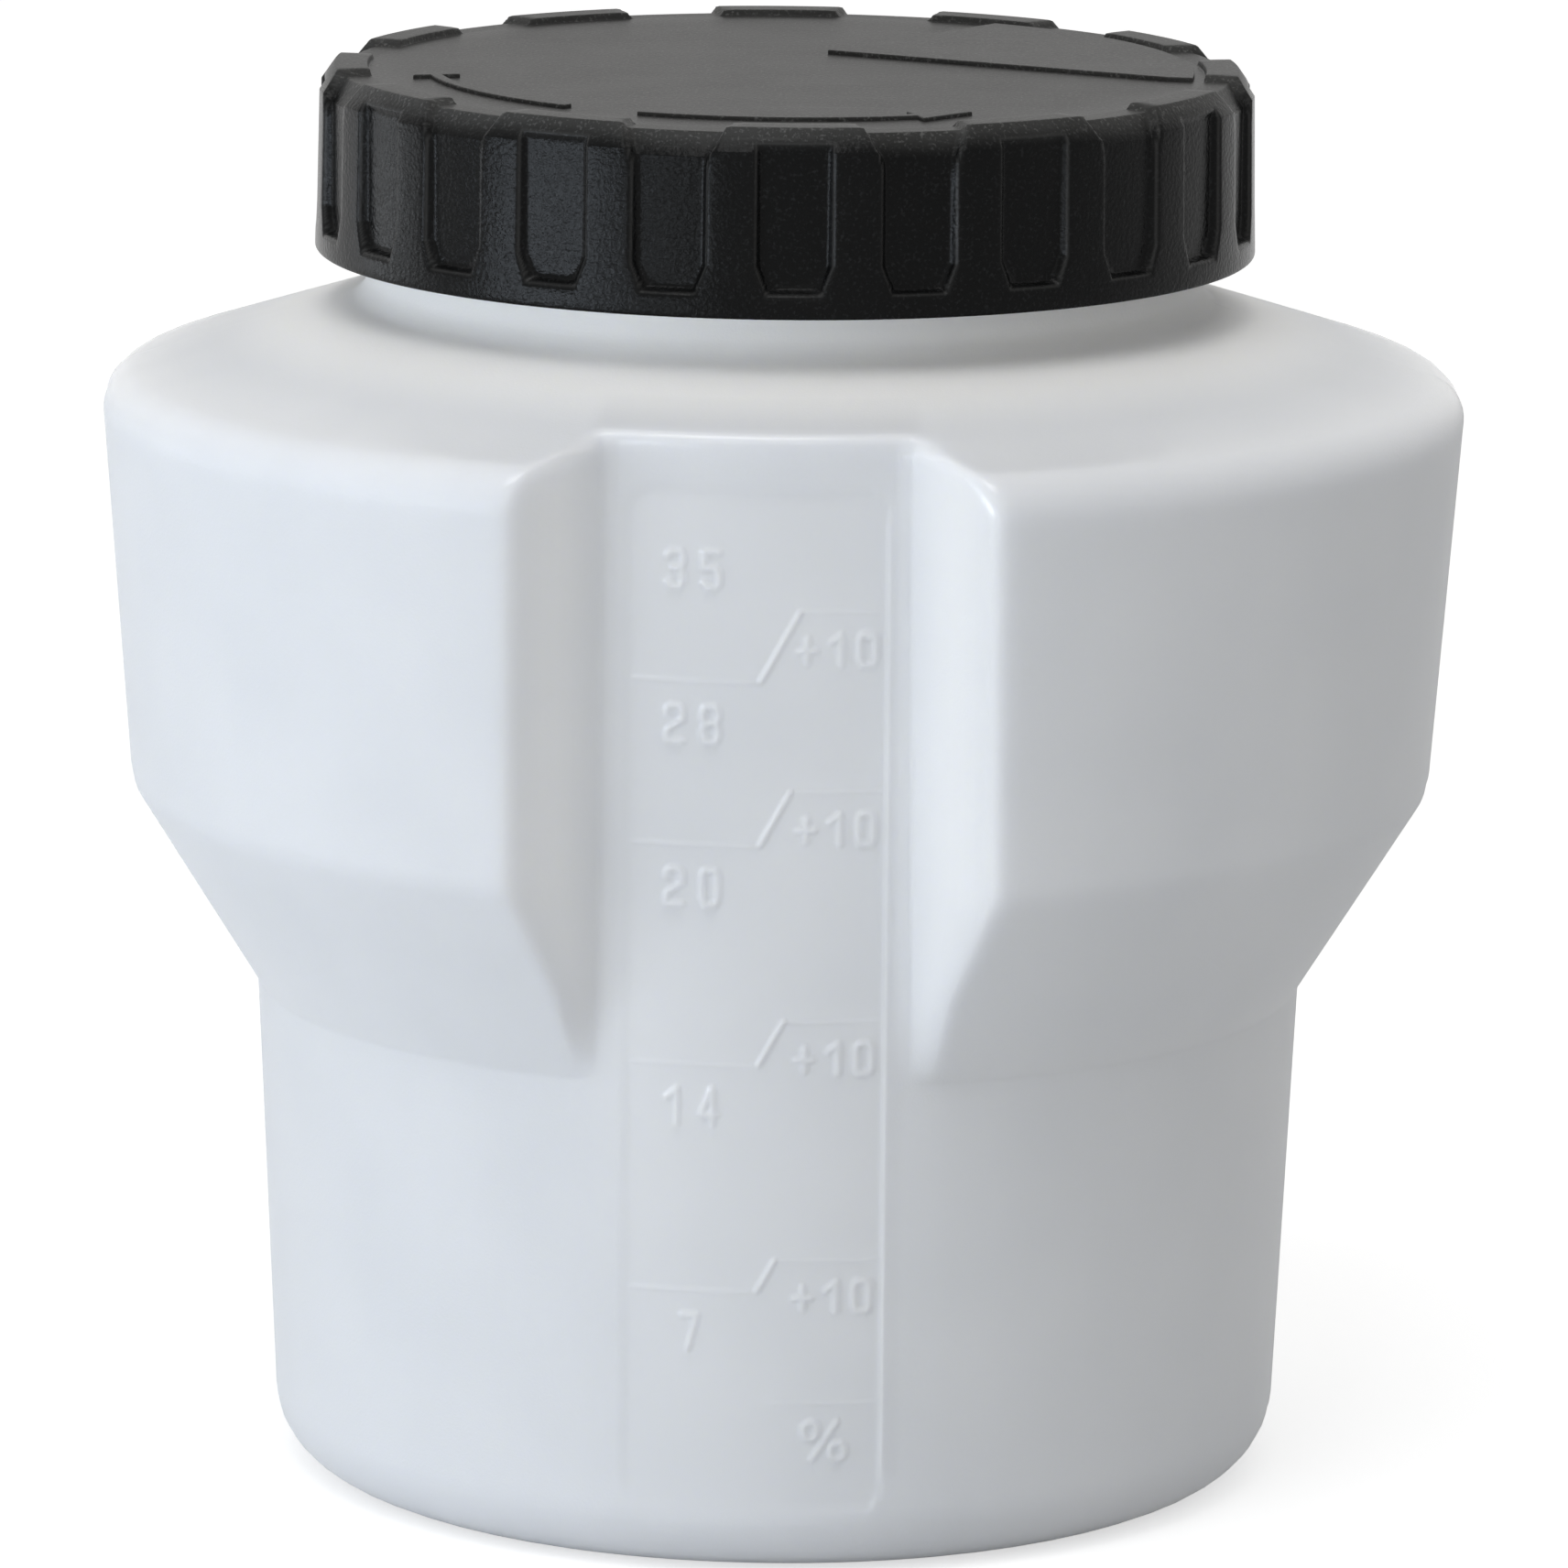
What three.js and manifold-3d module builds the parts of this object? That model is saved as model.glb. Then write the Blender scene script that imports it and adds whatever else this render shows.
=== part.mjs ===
// Paint container: a waisted, blow-moulded bottle with a grip recess front and back, a ribbed screw lid
// and the sealing ring between them. Millimetres, +Z up, front towards -Y, origin in the middle of the base.
import * as THREE from "three";
import { mergeVertices } from "three/addons/utils/BufferGeometryUtils.js";
import Module from "manifold-3d";

// Bottle: the corners of its profile, before rounding
const bottleWall = 1.6;
const baseRadius = 50.5;
const baseRound = 7.3;
const pushUpRadius = 30;
const pushUpHeight = 2.4;
const pushUpFlank = 5;
const waistRadius = 52.7;
const waistHeight = 49.8;
const waistRound = 1.2;
const hipRadius = 65.4;
const hipHeight = 70.3;
const hipRound = 5.9;
const shoulderRadius = 68.4;
const shoulderHeight = 110.9;
const shoulderRound = 4.5;
const neckRadius = 41.9;
const neckFootHeight = 119.3;
const neckRound = 2.5;
const neckLength = 18.6;
const rimRound = 0.5;

// Grip recess: its floor runs parallel to the upper wall and ends at the waist
const recessDepth = 11.2;
const recessFootWidth = 30.3;
const recessTopWidth = 29.5;
const recessWallLean = 43; // degrees from straight in
const recessRound = 2.4;

// Lid, built outwards from the neck and upwards from its rim
const threadRoom = 2;
const lidWall = 1.8;
const leadIn = 0.7;
const skirtHeight = 17.75;
const skirtDraft = 0.3;
const skirtEdge = 0.4;
const plateThickness = 1.65;
const chamferRun = 1.6;
const chamferRise = 2.25;
const lugCount = 12;
const lugHeight = 0.65;
const lugReach = 3.4;
const lugEndLean = 1.3;
const pocketDepth = 1;
const pocketWidth = 7.7;
const pocketDraft = 0.55;
const pocketFoot = 2.3;
const pocketHead = 0.9;
const pocketCornerWidth = 1.1;
const pocketCornerHeight = 2.8;
const lidRestTurn = 3.65; // degrees

// Sealing ring
const sealThickness = 1.5;
const sealOverhang = 1.3;
const sealEdge = 0.3;

// Fits and facets
const seatGap = 0.3;
const cutOvershoot = 1;
const arcStep = 3;
const sideSteps = 8;
const floorSteps = 2;
const coneRows = 3;
const wallRows = 2;
const shoulderRows = 3;
const wallStations = [-0.4, -0.05, 0.18, 0.5, 0.82, 1.05, 1.4]; // across a side wall: 0 at its foot, 1 at its lip
const leastWallAngle = THREE.MathUtils.degToRad(2.5);
const mostRounding = 0.25; // of a side wall, where it runs out
const lidFacets = 72;

// What the sizes above give
const rimHeight = neckFootHeight + neckLength;
const sealFoot = rimHeight + seatGap;
const plateUnderside = sealFoot + sealThickness + seatGap;
const plateTop = plateUnderside + plateThickness;
const lugTop = plateTop + lugHeight;
const skirtFoot = plateTop - skirtHeight;
const skirtInnerRadius = neckRadius + threadRoom;
const pocketFloorRadius = skirtInnerRadius + lidWall;
const skirtTopRadius = pocketFloorRadius + pocketDepth;
const skirtFootRadius = skirtTopRadius + skirtDraft;
const lugOuterRadius = skirtTopRadius - chamferRun;
const lugInnerRadius = lugOuterRadius - lugReach;
const chamferFoot = lugTop - chamferRise;
const notchFoot = chamferFoot - lugHeight;

const wasm = await Module();
wasm.setup();

// A closed three.js geometry as a solid that can be cut and joined.
function toSolid(geometry) {
  const bare = geometry.clone();
  bare.deleteAttribute("normal");
  bare.deleteAttribute("uv");
  const merged = mergeVertices(bare);
  return new wasm.Manifold(
    new wasm.Mesh({
      numProp: 3,
      vertProperties: merged.attributes.position.array,
      triVerts: new Uint32Array(merged.index.array),
    }),
  );
}

function toGeometry(solid) {
  const { vertProperties, triVerts } = solid.getMesh();
  const geometry = new THREE.BufferGeometry();
  geometry.setAttribute("position", new THREE.BufferAttribute(vertProperties, 3));
  geometry.setIndex(new THREE.BufferAttribute(triVerts, 1));
  geometry.computeVertexNormals();
  return geometry;
}

// A solid through a row of outlines with equal point counts, each counter-clockwise seen along the row.
function loft(outlines) {
  const count = outlines[0].length;
  const points = outlines.flat();
  const faces = [];
  for (let row = 0; row + 1 < outlines.length; row++) {
    for (let i = 0; i < count; i++) {
      const [a, b] = [row * count + i, row * count + ((i + 1) % count)];
      faces.push(a, b, b + count, a, b + count, a + count);
    }
  }
  const cap = (row, towardsStart) => {
    const middle = points.length;
    const outline = outlines.at(row);
    points.push(outline.reduce((sum, p) => sum.add(p), new THREE.Vector3()).divideScalar(count));
    const first = towardsStart ? 0 : (outlines.length - 1) * count;
    for (let i = 0; i < count; i++) {
      const [a, b] = [first + i, first + ((i + 1) % count)];
      faces.push(middle, towardsStart ? b : a, towardsStart ? a : b);
    }
  };
  cap(0, true);
  cap(-1, false);
  return new THREE.BufferGeometry().setFromPoints(points).setIndex(faces);
}

const corner = (radius, height, round = 0, rows = 1) => ({ at: new THREE.Vector2(radius, height), round, rows });
const lineAt = (from, to, height) =>
  THREE.MathUtils.mapLinear(height, from.at.y, to.at.y, from.at.x, to.at.x);

// The profile's corners moved inwards by a wall: each stretch shifts along its normal, and a round shrinks or
// grows with the side it lies on.
function insetCorners(corners, distance) {
  const ways = corners.slice(1).map((c, i) => c.at.clone().sub(corners[i].at).normalize());
  return corners.map((c, i) => {
    const [before, after] = [ways[Math.max(i - 1, 0)], ways[Math.min(i, ways.length - 1)]];
    const turn = before.cross(after);
    const mitre = new THREE.Vector2(-before.y - after.y, before.x + after.x);
    mitre.multiplyScalar(distance / (1 + before.dot(after)));
    const round = c.round && Math.max(c.round - Math.sign(turn) * distance, c.round / 2);
    return { ...c, at: c.at.clone().add(mitre), round };
  });
}

// The points of a profile from its corners, with an arc at each rounded one and rows along the stretch after it.
// Its first corner lies on the axis and only gives the first stretch its direction.
function profilePoints(corners) {
  const points = [corners[1].at];
  for (let i = 2; i < corners.length; i++) {
    const [from, here, to] = [points.at(-1), corners[i], corners[i + 1]];
    const end = here.round && to ? cornerArc(from, here, to.at) : [here.at];
    const { rows } = corners[i - 1];
    for (let row = 1; row < rows; row++) points.push(from.clone().lerp(end[0], row / rows));
    points.push(...end);
  }
  return points;
}

function cornerArc(from, { at, round }, to) {
  const [back, on] = [from.clone().sub(at), to.clone().sub(at)];
  const half = Math.acos(back.dot(on) / (back.length() * on.length())) / 2;
  const reach = Math.min(round / Math.tan(half), back.length() / 2, on.length() / 2);
  const radius = reach * Math.tan(half);
  const [start, end] = [back.setLength(reach).add(at), on.setLength(reach).add(at)];
  const centre = start.clone().add(end).multiplyScalar(0.5).sub(at).setLength(radius / Math.sin(half)).add(at);
  const first = start.clone().sub(centre).angle();
  const sweep = end.clone().sub(centre).angle() - first;
  const turn = Math.atan2(Math.sin(sweep), Math.cos(sweep));
  const steps = Math.ceil((radius * Math.abs(turn)) / arcStep);
  return Array.from({ length: steps + 1 }, (_, i) => {
    const angle = first + (turn * i) / steps;
    return new THREE.Vector2(Math.cos(angle), Math.sin(angle)).multiplyScalar(radius).add(centre);
  });
}

// The recess at one height, offset inwards by a wall: the floor's radius and half width.
function recessFloor(corners, height, inset) {
  const { base, waist, hip, shoulder } = corners;
  const radius = Math.max(lineAt(hip, shoulder, height) - recessDepth, lineAt(base, waist, height)) - inset;
  const width = THREE.MathUtils.mapLinear(height, waistHeight, shoulderHeight, recessFootWidth, recessTopWidth);
  const lean = THREE.MathUtils.degToRad(recessWallLean);
  return { radius, halfWidth: width / 2 + inset * (1 / Math.cos(lean) - Math.tan(lean)) };
}

// One outline of the bottle: outside the recess a circle, in it the floor's circle, and between them a side wall
// whose two ends are rounded. Angles count from the middle of the recess.
function bottleOutline(corners, { x: radius, y: height }, inset) {
  const floor = recessFloor(corners, height, inset);
  const depth = Math.max(radius - floor.radius, 0);
  const lean = Math.tan(THREE.MathUtils.degToRad(recessWallLean));
  const footRadius = Math.min(floor.radius, radius);
  const footAngle = Math.asin(floor.halfWidth / footRadius);
  const meet = lean * footRadius * Math.cos(footAngle) - floor.halfWidth;
  const slant = Math.hypot(1, lean);
  const lipAngle = Math.atan(lean) - Math.asin(meet / (slant * radius));
  const wallAngle = Math.max(lipAngle - footAngle, leastWallAngle);
  const rounding = Math.min(recessRound / (depth * slant), mostRounding);
  const ramp = (u) => (Math.hypot(u, rounding) - Math.hypot(u - 1, rounding) + 1) / 2;
  const stations = wallStations.map((u) => footAngle + u * wallAngle);
  const [first, last] = [stations[0], stations.at(-1)];
  const angles = [
    ...Array.from({ length: floorSteps }, (_, i) => (first * i) / floorSteps),
    ...stations,
    ...Array.from({ length: sideSteps }, (_, i) => last + ((Math.PI / 2 - last) * (i + 1)) / sideSteps),
  ];
  const quarter = angles.map((angle) => {
    const r = radius - depth + depth * ramp((angle - footAngle) / wallAngle);
    return new THREE.Vector2(r * Math.sin(angle), -r * Math.cos(angle));
  });
  const mirrored = quarter.slice(0, -1).reverse();
  const right = [...quarter, ...mirrored.map((p) => new THREE.Vector2(p.x, -p.y))];
  const left = right.slice(1, -1).reverse().map((p) => new THREE.Vector2(-p.x, p.y));
  return [...right, ...left].map((p) => new THREE.Vector3(p.x, p.y, height));
}

// A row where the recess floor meets the shoulder, so that its upper edge is crisp.
function withRecessEdge(corners, points, inset) {
  const over = points.map((p) => p.x - recessFloor(corners, p.y, inset).radius);
  const last = over.findLastIndex((depth) => depth > 0);
  const share = over[last] / (over[last] - over[last + 1]);
  return points.toSpliced(last + 1, 0, points[last].clone().lerp(points[last + 1], share));
}

function container() {
  const corners = {
    middle: corner(0, pushUpHeight),
    pushUp: corner(pushUpRadius, pushUpHeight),
    foot: corner(pushUpRadius + pushUpFlank, 0),
    base: corner(baseRadius, 0, baseRound),
    waist: corner(waistRadius, waistHeight, waistRound, coneRows),
    hip: corner(hipRadius, hipHeight, hipRound, wallRows),
    shoulder: corner(shoulderRadius, shoulderHeight, shoulderRound, shoulderRows),
    neck: corner(neckRadius, neckFootHeight, neckRound),
    rim: corner(neckRadius, rimHeight, rimRound),
    mouth: corner(neckRadius - bottleWall / 2, rimHeight),
  };
  const list = Object.values(corners);
  const body = (points, inset) =>
    toSolid(loft(withRecessEdge(corners, points, inset).map((p) => bottleOutline(corners, p, inset))));
  const outside = body(profilePoints(list), 0);
  const hollow = insetCorners(list.slice(0, -1), bottleWall);
  hollow.at(-1).at.y += cutOvershoot;
  return toGeometry(outside.subtract(body(profilePoints(hollow), bottleWall)));
}

const revolve = (points) =>
  new THREE.LatheGeometry(
    points.map(([radius, height]) => new THREE.Vector2(radius, height)),
    lidFacets,
  ).rotateX(Math.PI / 2);

// A prism from an outline of across and height values, standing out of the lid's front from one radius to another.
function frontPrism(outline, innerRadius, outerRadius) {
  const shape = new THREE.Shape(outline.map(([across, height]) => new THREE.Vector2(across, height)));
  const prism = new THREE.ExtrudeGeometry(shape, { depth: outerRadius - innerRadius, bevelEnabled: false });
  return toSolid(prism.rotateX(Math.PI / 2).translate(0, -innerRadius, 0));
}

// A prism from an outline of radius and height values, as wide as given, across the lid's front.
function crossPrism(outline, width) {
  const shape = new THREE.Shape(outline.map(([radius, height]) => new THREE.Vector2(radius, height)));
  const prism = new THREE.ExtrudeGeometry(shape, { depth: width, bevelEnabled: false });
  return toSolid(prism.rotateX(Math.PI / 2).rotateZ(-Math.PI / 2).translate(width / 2, 0, 0));
}

// A grip pocket: its walls open outwards by the draft and its lower corners are cut off.
function pocket(head) {
  const outline = (inset, radius) => {
    const half = pocketWidth / 2 - inset;
    const foot = skirtFoot + pocketFoot + inset;
    return [
      [half, head],
      [-half, head],
      [-half, foot + pocketCornerHeight],
      [pocketCornerWidth - half, foot],
      [half - pocketCornerWidth, foot],
      [half, foot + pocketCornerHeight],
    ].map(([across, height]) => new THREE.Vector3(across, -radius, height));
  };
  const mouth = pocketFloorRadius + 2 * pocketDepth;
  return toSolid(loft([outline(pocketDraft, pocketFloorRadius), outline(-pocketDraft, mouth)]));
}

// The notch between two lugs: down to the plate, with the chamfer carried on behind the pocket below it.
function notch() {
  const half = pocketWidth / 2;
  const head = lugTop + cutOvershoot;
  const outer = skirtFootRadius + cutOvershoot;
  const lean = (lugEndLean * (head - notchFoot)) / (lugTop - notchFoot);
  const front = [
    [-half, notchFoot],
    [half, notchFoot],
    [half + lean, head],
    [-half - lean, head],
  ];
  const inner = lugInnerRadius - cutOvershoot;
  const side = [
    [pocketFloorRadius, notchFoot],
    [outer, notchFoot],
    [outer, head],
    [inner, head],
    [inner, plateTop],
    [lugOuterRadius - pocketDepth, plateTop],
  ];
  return frontPrism(front, inner, outer).intersect(crossPrism(side, 2 * (half + lean)));
}

function screwLid() {
  const shell = toSolid(
    revolve([
      [0, plateUnderside],
      [skirtInnerRadius, plateUnderside],
      [skirtInnerRadius, skirtFoot + leadIn],
      [skirtInnerRadius + leadIn, skirtFoot],
      [skirtFootRadius - skirtEdge, skirtFoot],
      [skirtFootRadius, skirtFoot + skirtEdge],
      [skirtTopRadius, chamferFoot],
      [lugOuterRadius, lugTop],
      [lugInnerRadius, lugTop],
      [lugInnerRadius, plateTop],
      [0, plateTop],
    ]),
  );
  const pitch = 360 / lugCount;
  const closed = pocket(chamferFoot + pocketHead);
  const open = pocket(lugTop + cutOvershoot).add(notch()).rotate([0, 0, pitch / 2]);
  const cutter = closed.add(open);
  const cutters = Array.from({ length: lugCount }, (_, i) => cutter.rotate([0, 0, i * pitch]));
  return toGeometry(cutters.reduce((lid, cut) => lid.subtract(cut), shell));
}

function sealingRing() {
  const outer = skirtInnerRadius - seatGap;
  const inner = neckRadius - bottleWall - sealOverhang;
  const head = sealFoot + sealThickness;
  return revolve([
    [inner + sealEdge, sealFoot],
    [outer - sealEdge, sealFoot],
    [outer, sealFoot + sealEdge],
    [outer, head - sealEdge],
    [outer - sealEdge, head],
    [inner + sealEdge, head],
    [inner, head - sealEdge],
    [inner, sealFoot + sealEdge],
    [inner + sealEdge, sealFoot],
  ]);
}

function piece(name, geometry, color, roughness) {
  const mesh = new THREE.Mesh(geometry, new THREE.MeshStandardMaterial({ color, roughness, metalness: 0 }));
  mesh.name = name;
  return mesh;
}

const lid = new THREE.Group();
lid.rotation.z = THREE.MathUtils.degToRad(lidRestTurn);
lid.add(piece("screw_lid", screwLid(), 0x2c2d2f, 0.7));

const paintContainer = new THREE.Group();
paintContainer.add(piece("container", container(), 0xe6e8ec, 0.45));
paintContainer.add(piece("sealing_ring", sealingRing(), 0x9a9c9e, 0.85));
paintContainer.add(lid);

export default paintContainer;
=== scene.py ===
import math

import bpy
import numpy as np
from mathutils import Matrix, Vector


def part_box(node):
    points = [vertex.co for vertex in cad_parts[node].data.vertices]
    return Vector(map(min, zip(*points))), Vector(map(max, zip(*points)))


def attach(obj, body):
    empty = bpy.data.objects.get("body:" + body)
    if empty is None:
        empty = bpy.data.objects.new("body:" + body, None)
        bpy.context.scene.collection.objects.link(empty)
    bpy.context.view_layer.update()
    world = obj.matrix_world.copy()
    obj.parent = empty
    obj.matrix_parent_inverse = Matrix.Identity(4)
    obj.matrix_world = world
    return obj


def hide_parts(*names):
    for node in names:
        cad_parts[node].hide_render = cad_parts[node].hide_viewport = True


# A waisted paint bottle with a grip recess front and back, its ribbed screw lid and the ring between them.
# Sizes are in millimetres until a mesh is made. Angles count from the front, -Y, towards +X.
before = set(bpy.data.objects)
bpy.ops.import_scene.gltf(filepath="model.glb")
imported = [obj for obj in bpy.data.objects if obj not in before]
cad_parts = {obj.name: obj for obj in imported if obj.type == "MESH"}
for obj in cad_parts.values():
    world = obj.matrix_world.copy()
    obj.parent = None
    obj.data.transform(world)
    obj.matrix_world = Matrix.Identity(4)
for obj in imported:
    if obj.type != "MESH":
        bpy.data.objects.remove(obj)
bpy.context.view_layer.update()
mm = 0.001
hair = 0.001  # a length in millimetres that is too short to see
lidLow, lidHigh = (np.array(c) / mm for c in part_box("screw_lid"))
sealLow, sealHigh = (np.array(c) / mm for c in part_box("sealing_ring"))
bottleHigh = np.array(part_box("container")[1]) / mm
print("frame loaded, lid from", lidLow[2].round(2), "to", lidHigh[2].round(2), "mm")


# Shapes that every piece uses

def softRamp(u, startRound, endRound):
    # 0 before u = 0 and 1 after u = 1, straight between them, each bend rounded as a hyperbola
    return (np.hypot(u, startRound) - np.hypot(u - 1, endRound) + 1) / 2


def easeStep(u):
    # 0 before u = 0 and 1 after u = 1, with a level start and end: three squares less two cubes
    t = np.clip(u, 0, 1)
    return t * t * (3 - 2 * t)


def bell(u):
    # 1 at u = 0, falling away on both sides as a bell curve
    return np.exp(-u ** 2)


def lineAt(start, end, height):
    # the radius at a height on the straight line through two (radius, height) corners
    return start[0] + (end[0] - start[0]) * (height - start[1]) / (end[1] - start[1])


def roundedProfile(corners, steps, arcSteps):
    # corners are (radius, height, round), and steps count the stretches of each straight side; a round
    # corner becomes the arc that touches both its sides, swung from one touching point to the other
    places = np.array([corner[:2] for corner in corners], float)
    points = [places[:1]]
    for i in range(1, len(corners)):
        end = places[i:i + 1]
        if corners[i][2] and i + 1 < len(corners):
            back, on = places[i - 1] - places[i], places[i + 1] - places[i]
            reachBack, reachOn = np.linalg.norm(back), np.linalg.norm(on)
            back, on = back / reachBack, on / reachOn
            half = math.acos(back @ on) / 2
            reach = min(corners[i][2] / math.tan(half), reachBack / 2, reachOn / 2)
            middle = back + on
            centre = places[i] + middle / np.linalg.norm(middle) * reach / math.cos(half)
            first, last = places[i] + back * reach - centre, places[i] + on * reach - centre
            sweep = math.pi - 2 * half
            t = np.linspace(0, 1, arcSteps + 1)[:, None]
            end = centre + (np.sin((1 - t) * sweep) * first + np.sin(t * sweep) * last) / math.sin(sweep)
        between = np.linspace(points[-1][-1], end[0], steps[i - 1] + 1)[1:-1]
        points += [between, end]
    return np.concatenate(points)


def threadRidge(thread, angle, height):
    # a ridge along the helix height = start + lead * turns: flat crest, sloping flanks, fading at both ends
    angle = (angle + math.pi) % (2 * math.pi) - math.pi
    best = np.zeros(np.broadcast(angle, height).shape)
    for lap in range(math.ceil(thread["turns"]) + 1):
        turn = (angle - math.radians(thread["startAngle"])) / (2 * math.pi) + lap - 1
        away = np.abs(height - thread["start"] - thread["lead"] * turn)
        ends = easeStep(turn / thread["fade"]) * easeStep((thread["turns"] - turn) / thread["fade"])
        ridge = easeStep((thread["crest"] / 2 + thread["flank"] - away) / thread["flank"])
        best = np.maximum(best, ridge * ends)
    return best * thread["depth"]


def linkPiece(name, data):
    # an object at the origin that holds a mesh, a lamp or the camera
    piece = bpy.data.objects.new(name, data)
    bpy.context.scene.collection.objects.link(piece)
    return piece


def roundPiece(name, radius, angle, height, poles, attributes):
    # wraps a grid of radius, angle and height, with rows along the profile and columns round the axis,
    # into a closed mesh; poles are the heights of the points on the axis that close its first and last
    # rows, and without them the last row joins the first
    rows, columns = radius.shape
    places = np.stack([radius * np.sin(angle), -radius * np.cos(angle), height], -1).reshape(-1, 3)
    index = np.arange(rows * columns).reshape(rows, columns)
    ahead = np.roll(index, -1, 1)
    if poles:
        quads = np.stack([index[:-1], ahead[:-1], ahead[1:], index[1:]], -1).reshape(-1, 4)
        places = np.vstack([places, [[0, 0, poles[0]], [0, 0, poles[1]]]])
        top = np.full(columns, rows * columns)
        fans = np.vstack([
            np.stack([top, ahead[0], index[0]], -1),
            np.stack([top + 1, index[-1], ahead[-1]], -1),
        ])
    else:
        nextIndex, nextAhead = np.roll(index, -1, 0), np.roll(ahead, -1, 0)
        quads = np.stack([index, ahead, nextAhead, nextIndex], -1).reshape(-1, 4)
        fans = np.zeros((0, 3), int)
    mesh = bpy.data.meshes.new(name)
    mesh.vertices.add(len(places))
    mesh.vertices.foreach_set("co", (places * mm).astype(np.float32).ravel())
    corners = np.concatenate([quads.ravel(), fans.ravel()])
    mesh.loops.add(len(corners))
    mesh.loops.foreach_set("vertex_index", corners.astype(np.int32))
    starts = np.concatenate([np.arange(len(quads)) * 4, quads.size + np.arange(len(fans)) * 3])
    mesh.polygons.add(len(starts))
    mesh.polygons.foreach_set("loop_start", starts.astype(np.int32))
    mesh.polygons.foreach_set("use_smooth", np.ones(len(starts), bool))
    for label, values in attributes.items():
        layer = mesh.attributes.new(label, "FLOAT", "POINT")
        atPoles = [values[0].mean(), values[-1].mean()] if poles else []
        layer.data.foreach_set("value", np.concatenate([values.ravel(), atPoles]).astype(np.float32))
    mesh.update(calc_edges=True)
    mesh.validate()
    print(name, "has", len(quads) * 2 + len(fans), "triangles")
    return linkPiece(name, mesh)


def dress(piece, body, node, material):
    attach(piece, body)
    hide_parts(node)
    piece.data.materials.append(material)


# Scale on the recess floor

scale = {
    # the panel
    "left": -11.75, "right": 12.75, "foot": 7.25, "head": 108.75, "cornerRound": 2.5,
    "sink": 0.18, "edge": 0.25, "softEdge": 1.5, "margin": 2.0,
    # what stands up from it
    "rise": 0.2, "slashRise": 0.24, "lineRise": 0.08, "strokeHalf": 0.15, "lineHalf": 0.08, "flank": 0.25,
    # each number with its level, and the level where its slash ends
    "marks": [
        ("7", 29.25, 32.5), ("14", 52.0, 56.5), ("20", 74.0, 79.5), ("28", 90.25, 97.25),
        ("35", 105.5, None),
    ],
    "numberLeft": -8.5, "numberDrop": 2.5, "numberHigh": 3.5, "numberWide": 1.5, "numberStep": 3.5,
    "digits": 2,
    "plusText": "+10", "plusLeft": 4.25, "plusDrop": 2.25, "plusHigh": 3.0, "plusWide": 1.5,
    "plusStep": 2.875,
    "slashFoot": 0.5, "slashLean": 0.55,
    "shareText": "%", "shareLevel": 18.0, "shareLeft": 2.0, "shareSign": (5.25, 12.25),
    "shareSize": (4.0, 3.75),
}


def octagon(left, low, right, high, cut):
    # a rectangle with its corners cut off, as a closed stroke
    return [
        (left + cut, low), (right - cut, low), (right, low + cut), (right, high - cut),
        (right - cut, high), (left + cut, high), (left, high - cut), (left, low + cut), (left + cut, low),
    ]


# each sign is one or more strokes in a box one wide and one high
signs = {
    "0": [octagon(0, 0, 1, 1, 0.16)],
    "1": [[(0.1, 0.74), (0.75, 1), (0.75, 0)]],
    "2": [[
        (0, 0.76), (0, 0.88), (0.2, 1), (0.8, 1), (1, 0.88), (1, 0.6), (0.1, 0.34), (0, 0.24), (0, 0),
        (1, 0),
    ]],
    "3": [
        [(0, 0.86), (0.2, 1), (0.8, 1), (1, 0.88), (1, 0.62), (0.82, 0.52), (0.35, 0.52)],
        [(0.82, 0.52), (1, 0.4), (1, 0.12), (0.8, 0), (0.2, 0), (0, 0.14)],
    ],
    "4": [[(0.78, 0), (0.78, 1), (0.62, 1), (0, 0.28), (1, 0.28)]],
    "5": [[
        (1, 1), (0, 1), (0, 0.56), (0.8, 0.56), (1, 0.44), (1, 0.12), (0.8, 0), (0.2, 0), (0, 0.14),
    ]],
    "7": [[(0, 1), (1, 1), (0.4, 0)]],
    "8": [octagon(0, 0.52, 1, 1, 0.14), octagon(0, 0, 1, 0.52, 0.14)],
    "+": [[(0, 0.46), (1, 0.46)], [(0.5, 0.08), (0.5, 0.84)]],
    "%": [octagon(0, 0.56, 0.32, 1, 0.1), octagon(0.66, 0, 1, 0.44, 0.1), [(0.2, 0), (0.8, 1)]],
}


def strokesOf(text, left, low, wide, high, step):
    # the strokes of a row of signs, each sign one step to the right of the one before
    return [
        [(left + place * step + x * wide, low + z * high) for x, z in stroke]
        for place, sign in enumerate(text)
        for stroke in signs[sign]
    ]


def strokeDistance(x, z, strokes):
    # the distance from each point to the nearest of the strokes' straight stretches
    ends = np.array([(*a, *b) for stroke in strokes for a, b in zip(stroke, stroke[1:])])
    best = np.full(x.shape, np.inf)
    for x0, z0, x1, z1 in ends:
        dx, dz = x1 - x0, z1 - z0
        t = np.clip(((x - x0) * dx + (z - z0) * dz) / (dx * dx + dz * dz), 0, 1)
        best = np.minimum(best, np.hypot(x - x0 - t * dx, z - z0 - t * dz))
    return best


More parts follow.
